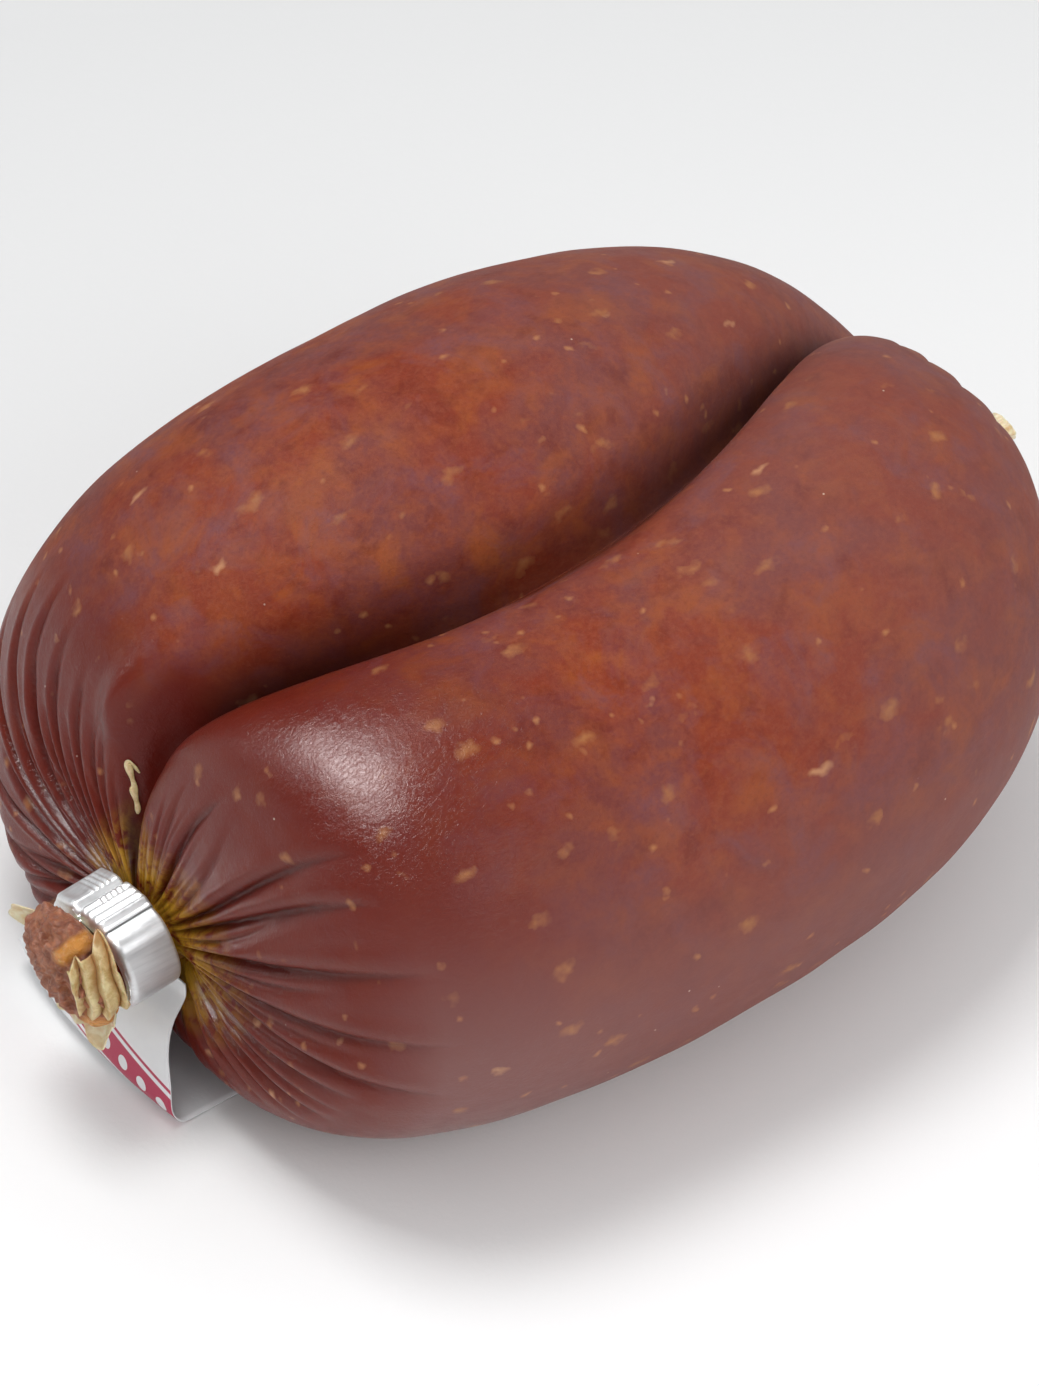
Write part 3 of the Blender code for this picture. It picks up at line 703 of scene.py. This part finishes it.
def meat_finish():
    """Coarse chopped meat with clear orange fat and darker gaps."""
    f = Finish("cut_meat", Roughness=0.4, Specular_IOR_Level=0.4, Subsurface_Weight=0.15,
               Subsurface_Scale=0.001)
    lumps = f.ramp(f.noise(0.7, 4, 0.65, 0.5), 0.38, 0.62)
    gaps = f.ramp(f.noise(1.6, 4, 0.7, 0.4, 11.0), 0.5, 0.66, 0, 0.6)
    colour = f.mix(gaps, f.mix(lumps, *MEAT_TONES), MEAT_GAPS)
    colour = f.mix(f.ramp(f.value("fat"), 0.2, 0.7), colour, FAT_ORANGE)
    f.set("Base Color", colour)
    f.set("Roughness", f.ramp(f.value("fat"), 0, 1, 0.38, 0.25))
    f.bump((f.noise(1.2, 5, 0.7, 0.6, 2.0), 0.5))
    return f.made


def straw_finish(name, low, high):
    """Dry, half clear casing, with painted shade at the bottoms of its folds."""
    f = Finish(name, Roughness=0.45, Transmission_Weight=0.15, Subsurface_Weight=0.25,
               Subsurface_Scale=0.001)
    colour = f.mix(f.ramp(f.noise(0.8, 4, 0.65, 0.5), 0.35, 0.65), low, high)
    # Painted shade at the bottoms of the pleats' folds
    colour = f.mix(f.ramp(f.value("pleat_shade"), 0.1, 0.9, 0, 0.85), colour, STRAW_SHADE)
    f.set("Base Color", colour)
    f.bump((f.noise(1.8, 4, 0.6, 0.8, 3.0), 0.05))
    return f.made


def paper_finish(name, ink=None):
    """White paper, with crimson where ink gives a number from the material's own nodes."""
    f = Finish(name, Roughness=0.5, Coat_Weight=0.2, Coat_Roughness=0.2)
    white = f.mix(f.noise(0.5, 4, 0.6), *PAPER_TONES)
    f.set("Base Color", f.mix(ink(f), white, CRIMSON) if ink else white)
    f.bump((f.noise(2.5, 3, 0.6), 0.02))
    return f.made


def label_print(f):
    """1 where the label is printed: a band with dots left out of it, between two thin lines."""
    across = f.value("across")
    slanted = f.math("ADD", f.value("along"), f.math("MULTIPLY", across, PRINT_SLANT))

    def stripe(middle, half):
        return f.math("LESS_THAN", f.math("ABSOLUTE", f.math("SUBTRACT", slanted, middle)), half)

    band = stripe(*PRINT_BAND)
    along_band = f.math("MODULO", f.math("ADD", across, 100.0), DOT_STEP)
    beside = f.math("SUBTRACT", along_band, DOT_STEP / 2)
    above = f.math("SUBTRACT", slanted, PRINT_BAND[0])
    squares = f.math("ADD", f.math("MULTIPLY", beside, beside), f.math("MULTIPLY", above, above))
    dot = f.math("LESS_THAN", f.math("POWER", squares, 0.5), DOT_RADIUS)
    lines = f.math("MAXIMUM", *[stripe(*line) for line in PRINT_LINES])
    return f.math("MAXIMUM", f.math("SUBTRACT", band, f.math("MULTIPLY", dot, band)), lines)


def floor_finish():
    """Pale card, with painted light: a little brighter towards the front left."""
    f = Finish("pale_floor", Roughness=0.8, Specular_IOR_Level=0.0)
    across = f.node("ShaderNodeSeparateXYZ", {"Vector": f.place})
    slope = f.math("ADD", f.math("MULTIPLY", across.outputs["X"], 0.45), across.outputs["Y"])
    # Painted light: brighter towards the front left
    f.set("Base Color", f.mix(f.ramp(slope, *FLOOR_LIGHT_FADE), *FLOOR_LIGHT_TONES))
    f.bump((f.noise(0.8, 3, 0.6), 0.03))
    return f.made


def attach(obj, material, slot, *nodes):
    obj.data.materials.append(material)
    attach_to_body(obj, "root")
    if nodes:
        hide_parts(*nodes)
    return obj


def skin_values(u, v, skin, fold_shade):
    """Numbers from 0 to 1 that tell the casing's material where each colour, the gloss, the painted
    shade and the painted floor sheen lie.
    """
    c = -np.cos(u)
    on_back = fade(v, QUARTER, math.radians(12)) * (v < 1.6 * math.pi)
    x, z = skin[..., 0] / MM, skin[..., 2] / MM
    past_folds = fade(x, *FOLDS_FADE)
    at_u, at_v, half_u, half_v = np.radians(POCKET_SHADE_AREA)
    in_front = np.clip(np.cos(turned_angle(u, v) + math.radians(10)), 0, 1)
    reach = OCHRE_REACH[0] + (OCHRE_REACH[1] - OCHRE_REACH[0]) * in_front
    ochre_fade = OCHRE_FADE[0] + (OCHRE_FADE[1] - OCHRE_FADE[0]) * in_front
    ochre = np.clip((reach - from_axis(u, v) / MM) / ochre_fade, 0, 1)
    # lower skin takes more of the painted floor sheen
    low = np.clip((SHEEN_LOW_FADE[0] - z) / SHEEN_LOW_FADE[1], 0, 1)
    return {
        # less ochre in the fold bottoms, so the painted shade there stays dark
        "ochre": ochre * (1 - 0.8 * fold_shade),
        "fold_shade": fold_shade,
        "matt": np.maximum(fade(x, *GLOSS_FADE), on_back * past_folds),
        # painted shade at the bottom of the slit, stronger towards both ends
        "crease": slit_share(v, c) * np.clip(0.35 + 0.9 * c ** 2, 0, 1) * (c < 0.999),
        # painted shade in the hollow of the crease beside the clip
        "pocket_shade": np.exp(-((u - at_u) / half_u) ** 4 - (turn_between(v, at_v) / half_v) ** 4),
        # painted floor sheen, low down and towards the far end, past the folds
        "floor_sheen": np.maximum(low, 0.5 * fade(x, *SHEEN_FAR_END_FADE)) * past_folds,
    }


def make_body():
    """The skin, and the neck that runs on from it inside the clip."""
    u, v = np.meshgrid(stations(), round_angles(COLUMNS), indexing="ij")
    height, fold_shade = relief(u, v)
    skin = smooth_skin(u, v) + skin_normal(u, v) * height[..., None]
    skin[..., 2] = np.maximum(skin[..., 2], 0)
    angles = turned_angle(u[0], v[0])
    neck = [neck_point(out, neck_radius(angles), angles) for out in NECK_STATIONS]
    unseen = np.zeros((len(neck), COLUMNS))
    values = skin_values(u, v, skin, fold_shade)
    values = {key: np.concatenate([unseen, value]) for key, value in values.items()}
    return grid_mesh("casing_body", np.concatenate([neck, skin]), caps=(0, -1), values=values)


def resample(points, count):
    """Evenly spaced points on a line through the given ones."""
    points = np.asarray(points, float)
    length = run_along(points)
    at = np.linspace(0, length[-1], count)
    return np.stack([np.interp(at, length, points[:, i]) for i in range(points.shape[1])], -1)


def smooth_line(points, count):
    """Evenly spaced points on a smooth curve through the given ones."""
    knots = np.array([points[0], *points, points[-1]], float)
    run = []
    for before, start, end, after in zip(knots, knots[1:], knots[2:], knots[3:]):
        for t in np.linspace(0, 1, 20, endpoint=False):
            second = 2 * before - 5 * start + 4 * end - after
            third = 3 * start - before - 3 * end + after
            run.append((2 * start + (end - before) * t + second * t ** 2 + third * t ** 3) / 2)
    run.append(knots[-1])
    return resample(run, count)


def squared_point(t, squareness):
    """A point at angle t on a rounded square of half width one."""
    w, h = math.cos(t), math.sin(t)
    return [math.copysign(abs(part) ** (2 / squareness), part) for part in (w, h)]


def clip_outlines():
    """The band's outer and inner outlines, evenly stepped, from the seam round to the seam."""
    crest = CLIP_TOP + FINGER_RISE
    right = [
        (SEAM_HALF_GAP, CLIP_TOP + 0.2 * MM),
        (0.9 * MM, crest - 0.1 * MM),
        (1.6 * MM, crest),
        (FINGER_REACH - 0.6 * MM, crest - FINGER_SLOPE),
        (FINGER_REACH - 0.1 * MM, CLIP_TOP + 0.1 * MM),
        (FINGER_REACH + 0.4 * MM, CLIP_TOP - FINGER_GROOVE),
    ]
    for t in np.linspace(SHOULDER_FROM, 0, 12):
        w, h = squared_point(t, CLIP_CORNER)
        right.append((CLIP_HALF_WIDTH * w, CLIP_WAIST + (CLIP_TOP - CLIP_WAIST) * h))
    for t in np.linspace(0, QUARTER, 16)[1:]:
        w, h = squared_point(t, CLIP_LOWER_CORNER)
        right.append((CLIP_HALF_WIDTH * w, CLIP_WAIST + (CLIP_BOTTOM - CLIP_WAIST) * h))
    outer = np.array(right + [(-w, h) for w, h in reversed(right[:-1])])
    lip = SEAM_HALF_GAP / (NECK_HALF_WIDTH + GAP)
    inner = []
    for t in np.linspace(QUARTER - lip, -3 * QUARTER + lip, 161):
        w, h = squared_point(t, NECK_SQUARENESS)
        inner.append((w * (NECK_HALF_WIDTH + GAP), h * (NECK_HALF_HEIGHT + GAP)))
    return resample(outer, BAND_STEPS), resample(inner, BAND_STEPS)


def band_section():
    """Round the band's cross-section: depth under its face, distance along the neck, and side.

    The side is 1 outside and 0 inside. On the two flat rims the depth is -1, and the side is the
    share of the way from inside to outside.
    """
    turn = np.linspace(0, QUARTER, 6)
    near, wide = BODY_RIM_ROUNDING, TUFT_RIM_ROUNDING
    far = BAND_WIDTH - wide
    loop = [(0.0, along, 1) for along in np.linspace(near, far, 44)]
    loop += [(wide * (1 - math.cos(t)), far + wide * math.sin(t), 1) for t in turn[1:]]
    loop += [(-1.0, BAND_WIDTH, share) for share in (0.7, 0.45, 0.2)]
    loop += [(near * (1 - math.sin(t)), BAND_WIDTH - near * (1 - math.cos(t)), 0) for t in turn]
    loop += [(0.0, along, 0) for along in np.linspace(BAND_WIDTH - near, near, 12)[1:]]
    loop += [(near * (1 - math.cos(t)), near * (1 - math.sin(t)), 0) for t in turn[1:]]
    loop += [(-1.0, 0.0, share) for share in (0.25, 0.5, 0.75)]
    loop += [(near * (1 - math.sin(t)), near * (1 - math.cos(t)), 1) for t in turn[:-1]]
    return np.array(loop).T


def die_marks(across, along):
    """Relief pressed into the two ends on top: ridges on one and notches on the other."""
    w, a = across / MM, along / MM
    ridges = 0.17 * np.cos((w - 1.5) * 2 * math.pi / 1.25) * fade(w, 1.0, 0.6)
    near_seam = 0.05 * np.cos(a * 2 * math.pi / 0.7) * np.exp(-((w - 1.4) / 0.9) ** 2) * (a < 4.2)
    notches = 0.12 * np.cos(a * 2 * math.pi / 0.72) * np.exp(-((a - 2.2) / 1.4) ** 4)
    notches = notches * (np.abs(w + 2.8) < 1.9)
    facet = -0.22 * np.exp(-((a - 5.0) / 0.9) ** 2) * np.exp(-((w + 3.0) / 1.2) ** 2)
    return np.where(w > 0, ridges + near_seam, notches + facet) - 0.08


def make_clip():
    """The band: a bar of rounded section bent round the neck, with die marks on its two ends."""
    outer, inner = clip_outlines()
    sunk, along, outside = band_section()
    thick = np.linalg.norm(outer - inner, axis=1)[:, None]
    share = np.where(sunk < 0, outside, np.where(outside == 1, 1 - sunk / thick, sunk / thick))
    w, h = outer[:, 0:1], outer[:, 1:2]
    finger = (np.abs(w) < FINGER_REACH) & (h > CLIP_TOP - 0.2 * MM) & (outside == 1)
    edge = np.clip(np.minimum(along, BAND_WIDTH - along) / (0.8 * MM), 0, 1)
    marks = np.where(finger, die_marks(w, along) * MM, 0) * edge
    flat = inner[:, None, :] * (1 - share[..., None]) + outer[:, None, :] * share[..., None]
    up = flat[..., 1] + marks
    place = CLIP_CENTRE + flat[..., 0:1] * AXES[:, 0] + up[..., None] * AXES[:, 1]
    place = place + along[None, :, None] * OUT
    dents = field(place, 0.22, 2.0)[..., None] * 0.05 * MM
    place = place + dents * unit(place - (CLIP_CENTRE + OUT * (BAND_WIDTH / 2)))
    return grid_mesh("clip_band", place[:, ::-1], caps=(0, -1))


def make_label():
    """A thin closed sheet along the label's route, with its measures in millimetres as values."""
    rows, columns = 150, 44
    route = smooth_line(LABEL_ROUTE, rows) * MM
    share = np.linspace(0, 1, rows)[:, None]
    across = np.linspace(0, 1, columns)[None, :]
    spread = eased(np.minimum(1, share / LABEL_SPREAD_BY))
    left, right = [top + (low - top) * spread for top, low in zip(LABEL_TOP_EDGES, LABEL_LOW_EDGES)]
    y = left + (right - left) * across
    bulge = (1 - (2 * across - 1) ** 2) * spread * np.clip(1 - (share - LABEL_SPREAD_BY) * 3, 0, 1)
    x = route[:, 0:1] - LABEL_BULGE * bulge
    curl = fade(across, LABEL_CURLS_FROM, 1 - LABEL_CURLS_FROM) ** 2 * spread
    z = route[:, 1:2] + LABEL_CURL * curl + (1 - spread) * LABEL_TOP_TILT * (y - CLIP_CENTRE[1])
    sheet = np.stack(np.broadcast_arrays(x, y, z), -1)
    normal = -unit(np.cross(np.gradient(sheet, axis=0), np.gradient(sheet, axis=1)))
    front, back = sheet + normal * PAPER / 2, sheet - normal * PAPER / 2
    along = run_along(route)[:, None] + 0 * y

    def round_loop(one, other):
        return np.concatenate([one, other[:, ::-1]], axis=1)[:, ::-1]

    values = {"along": round_loop(along, along) / MM, "across": round_loop(y, y) / MM}
    obj = grid_mesh("label_paper", round_loop(front, back), values=values)
    close_ends(obj, rows, columns * 2)
    return obj


def close_ends(obj, rows, loop):
    """Closes a flat tube's first and last loop, and makes its second half the printed side."""
    mesh = obj.data
    verts = [tuple(vert.co) for vert in mesh.vertices]
    faces = [tuple(face.vertices) for face in mesh.polygons]
    half = loop // 2
    for row in (0, rows - 1):
        for j in range(half - 1):
            ring = (j, j + 1, loop - 2 - j, loop - 1 - j)
            ring = ring if row == 0 else ring[::-1]
            faces.append(tuple(row * loop + k for k in ring))
    kept = {key: [item.value for item in mesh.attributes[key].data] for key in ("along", "across")}
    mesh.clear_geometry()
    mesh.from_pydata(verts, [], faces)
    for key, value in kept.items():
        set_values(mesh, key, value)
    columns = np.array([min(v % loop for v in face.vertices) for face in mesh.polygons])
    mesh.polygons.foreach_set("material_index", (columns >= half).astype(np.int32))
    mesh.update()
    mesh.shade_smooth()


def face_offset(points):
    """How far points lie towards the front and up from the clip's axis, in millimetres."""
    away = points - CLIP_CENTRE
    return -away[..., 1] / MM, away @ NECK_UP / MM


def make_plug():
    """Chopped meat that shows past the clip, with two pieces of fat standing out."""
    angles = round_angles(180)
    lift = (NECK_UP * PLUG_OFFSET[1] - SIDEWAYS * PLUG_OFFSET[0]) * MM
    scale = neck_radius(angles)
    scale = (scale / scale.mean()) ** PLUG_ROUNDNESS
    rings = []
    for out, radius in smooth_line(PLUG_PROFILE, 66):
        ring = neck_point(BAND_WIDTH + out * MM, radius * MM * scale, angles)
        rings.append(ring + lift * min(1, out / 2))
    at = np.array(rings)
    middle = CLIP_CENTRE + OUT * (BAND_WIDTH + 1.5 * MM) + lift
    lumps = 0.6 * field(at, 0.33) + 1.5 * (0.22 - np.abs(field(at, 0.5, 5.0)))
    rough = lumps + 0.55 * field(at, 1.1, 9.0)
    front, up = face_offset(at)
    fat = np.zeros_like(front)
    for f, h, half_f, half_h, turn in FAT_PIECES:
        along = (front - f) * math.cos(turn) + (up - h) * math.sin(turn)
        beside = (up - h) * math.cos(turn) - (front - f) * math.sin(turn)
        far = np.abs(along / half_f) ** FAT_SQUARENESS + np.abs(beside / half_h) ** FAT_SQUARENESS
        piece = np.exp(-far)
        fat = np.maximum(fat, piece)
        rough = rough * (1 - 0.8 * piece) + 0.9 * piece
    rough -= 0.6 * fade(front, 2.5, 1.5) * np.exp(-((up - 2.5) / 4.5) ** 4)
    from_rim = np.clip(np.linspace(0, 6, len(at)), 0, 1)[:, None]
    at = at + unit(at - middle) * (rough * from_rim * MM)[..., None]
    return grid_mesh("cut_meat", at[::-1], caps=(0,), values={"fat": fat[::-1]})


def make_frill():
    """Ragged casing round the meat, longer in a few flaps."""
    angles = round_angles(360)
    wave = np.sin
    length = 1.9 + 0.35 * wave(5 * angles + 1) + 0.25 * wave(11 * angles)
    length += 0.12 * wave(23 * angles + 2)
    forward = np.zeros_like(angles)
    for at, half, extra, power in FLAPS:
        apart = np.degrees(turn_between(angles, math.radians(at)))
        flap = np.exp(-np.abs(apart / half) ** power)
        length += extra * flap
        forward += 0.35 * extra * flap
    ruffle = 0.30 * wave(9 * angles + 0.9 * wave(3 * angles)) + 0.12 * wave(19 * angles + 1)
    rings = []
    for s in np.linspace(0, 1, 18):
        out = 0.15 + (2.4 + forward + 1.2 * ruffle + 0.5 * wave(3 * angles)) * s
        radius = 5.0 + length * s ** 0.9 + 0.5 * ruffle * s
        rings.append(neck_point(BAND_WIDTH + np.maximum(out, 0.1) * MM, radius * MM, angles))
    return thicken(grid_mesh("casing_frill", np.array(rings)), FRILL_THICKNESS)


def make_pleats():
    """Stiff casing folded back and forth over the front of the cut end, its fold lines upright."""
    place = np.linspace(0, 1, 40)
    lines, pleat_shade = [], []
    for s in np.linspace(0, 1, 73):
        lean = s + 0.10 * (place - 0.5) + 0.03 * np.sin(9 * place)
        fold = np.abs((lean * PLEAT_COUNT) % 1 * 2 - 1) * (1 + 0.3 * np.sin(5 * s + 3 * place))
        up = 1.3 - 2.6 * s + (9.0 - 0.4 * s + 0.5 * math.sin(11 * s)) * place
        rounding = np.sqrt(1 - ((up - PLUG_OFFSET[1]) / 10.0) ** 2)
        lift = 0.5 + 0.9 * math.sin(math.pi * s) + 1.3 * fold
        front = (8.3 - 3.9 * s) * rounding + 0.74 * lift
        out = 0.3 + 4.6 * s + 0.67 * lift
        flat = CLIP_CENTRE + np.outer(-front * MM, SIDEWAYS) + np.outer(up * MM, NECK_UP)
        lines.append(flat + np.outer(BAND_WIDTH + out * MM, OUT))
        # painted shade, strongest at the bottom of each pleat's fold
        pleat_shade.append(1 - np.clip(fold / 0.7, 0, 1))
    values = {"pleat_shade": np.array(pleat_shade)}
    obj = grid_mesh("casing_pleats", np.array(lines), around=False, values=values)
    return thicken(obj, PLEAT_THICKNESS)


def make_strand():
    """A loose strip of casing that runs down the crease to the clip."""
    path = smooth_line(STRAND_PATH, 90)
    u, v, size = np.radians(path[:, 0]), np.radians(path[:, 1]), path[:, 2] * MM
    normal = skin_normal(u, v)
    spine = smooth_skin(u, v) + normal * (size * 0.7 + relief(u, v)[0])[:, None]
    ahead = unit(np.gradient(spine, axis=0))
    side = unit(np.cross(ahead, normal))
    rise = np.cross(side, ahead)
    wide = (size * (1 + 0.25 * np.sin(np.linspace(0, 22, len(spine)))))[:, None]
    rings = [spine + wide * (1.25 * math.cos(t) * side + 0.6 * math.sin(t) * rise)
             for t in round_angles(20)]
    return grid_mesh("crease_strand", np.stack(rings, axis=1), caps=(0, -1))


def make_tip():
    """The small tied end of the casing."""
    root = smooth_skin(np.full(24, math.pi - NEARLY_END), round_angles(24)).mean(axis=0)
    out = unit(np.array(TIP_DIRECTION))
    up = np.cross(-SIDEWAYS, out)
    angles = round_angles(72)
    rings = []
    for distance, radius in smooth_line(TIP_PROFILE, 60):
        twist = angles + distance * 0.25
        wide = radius * MM * (1 + 0.12 * np.sin(3 * twist + 0.5) + 0.07 * np.sin(11 * twist))
        ring = np.outer(wide * np.sin(angles), up) - np.outer(wide * np.cos(angles), SIDEWAYS)
        rings.append(root + out * distance * MM + ring)
    return grid_mesh("tied_tip", np.array(rings), caps=(0, -1))


def make_floor():
    mesh = bpy.data.meshes.new("floor")
    corners = [(x * FLOOR_HALF_WIDTH, y * FLOOR_HALF_WIDTH, 0)
               for x, y in ((-1, -1), (1, -1), (1, 1), (-1, 1))]
    mesh.from_pydata(corners, [], [(0, 1, 2, 3)])
    floor = link(bpy.data.objects.new("floor", mesh))
    floor.location.z = -FLOOR_DROP
    mesh.materials.append(floor_finish())


def make_lamp(name, azimuth, elevation, distance, sides, watts, unlit):
    """A lamp that faces the object, at angles from +X round to +Y and above the floor."""
    lamp = bpy.data.lights.new(name, "AREA")
    lamp.shape = "RECTANGLE"
    lamp.size, lamp.size_y = sides
    lamp.energy = watts
    a, e = math.radians(azimuth), math.radians(elevation)
    way = Vector((math.cos(a) * math.cos(e), math.sin(a) * math.cos(e), math.sin(e)))
    obj = link(bpy.data.objects.new(name, lamp))
    obj.location = way * distance + LAMPS_AIM_AT
    obj.rotation_mode = "QUATERNION"
    obj.rotation_quaternion = (-way).to_track_quat("-Z", "Y")
    obj.visible_glossy = unlit != "glossy"
    obj.visible_diffuse = unlit != "diffuse"


def make_light():
    """The lamps, and a pale sky that is darker in reflections."""
    world = bpy.data.worlds.new("studio")
    bpy.context.scene.world = world
    world.use_nodes = True
    tree = world.node_tree
    background = tree.nodes["Background"]
    background.inputs["Color"].default_value = SKY_COLOUR
    path = tree.nodes.new("ShaderNodeLightPath")
    strength = tree.nodes.new("ShaderNodeMapRange")
    strength.inputs["To Min"].default_value = SKY_STRENGTH
    strength.inputs["To Max"].default_value = SKY_IN_REFLECTIONS
    tree.links.new(path.outputs["Is Glossy Ray"], strength.inputs["Value"])
    tree.links.new(strength.outputs["Result"], background.inputs["Strength"])
    for lamp in LAMPS:
        make_lamp(*lamp)


def make_camera():
    """Looks down at 44 degrees from the front left, at the photograph's viewing angle."""
    ahead = CAMERA_UP.cross(CAMERA_RIGHT).normalized()
    side = CAMERA_RIGHT * math.cos(CAMERA_ROLL) + CAMERA_UP * math.sin(CAMERA_ROLL)
    top = CAMERA_UP * math.cos(CAMERA_ROLL) - CAMERA_RIGHT * math.sin(CAMERA_ROLL)
    lens = bpy.data.cameras.new("camera")
    lens.sensor_width = SENSOR_WIDTH
    lens.lens = FOCAL_PIXELS / PHOTO_HEIGHT * SENSOR_WIDTH
    lens.clip_start, lens.clip_end = 0.05, 10
    camera = link(bpy.data.objects.new("camera", lens))
    camera.matrix_world = Matrix((side, top, -ahead)).transposed().to_4x4()
    target = Vector((0, 0, AIM_HEIGHT)) + CAMERA_RIGHT * AIM_SIDE + Vector(SHIFT)
    camera.location = target - ahead * CAMERA_DISTANCE
    bpy.context.scene.camera = camera


def main():
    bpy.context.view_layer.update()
    attach(make_body(), casing_finish(), "casing", "sausage")
    attach(make_clip(), metal_finish(), "band", "clip")
    label = make_label()
    label.data.materials.append(paper_finish("plain_paper"))
    attach(label, paper_finish("printed_paper", label_print), "paper", "label")
    attach(make_plug(), meat_finish(), "casing")
    straw = straw_finish("dry_casing", *STRAW)
    dark_straw = straw_finish("pleated_casing", *DARK_STRAW)
    attach(make_frill(), straw, "casing")
    attach(make_pleats(), dark_straw, "casing")
    attach(make_strand(), dark_straw, "casing")
    attach(make_tip(), straw, "casing")
    make_floor()
    make_light()
    make_camera()
    bpy.context.scene.view_settings.view_transform = "Standard"


main()
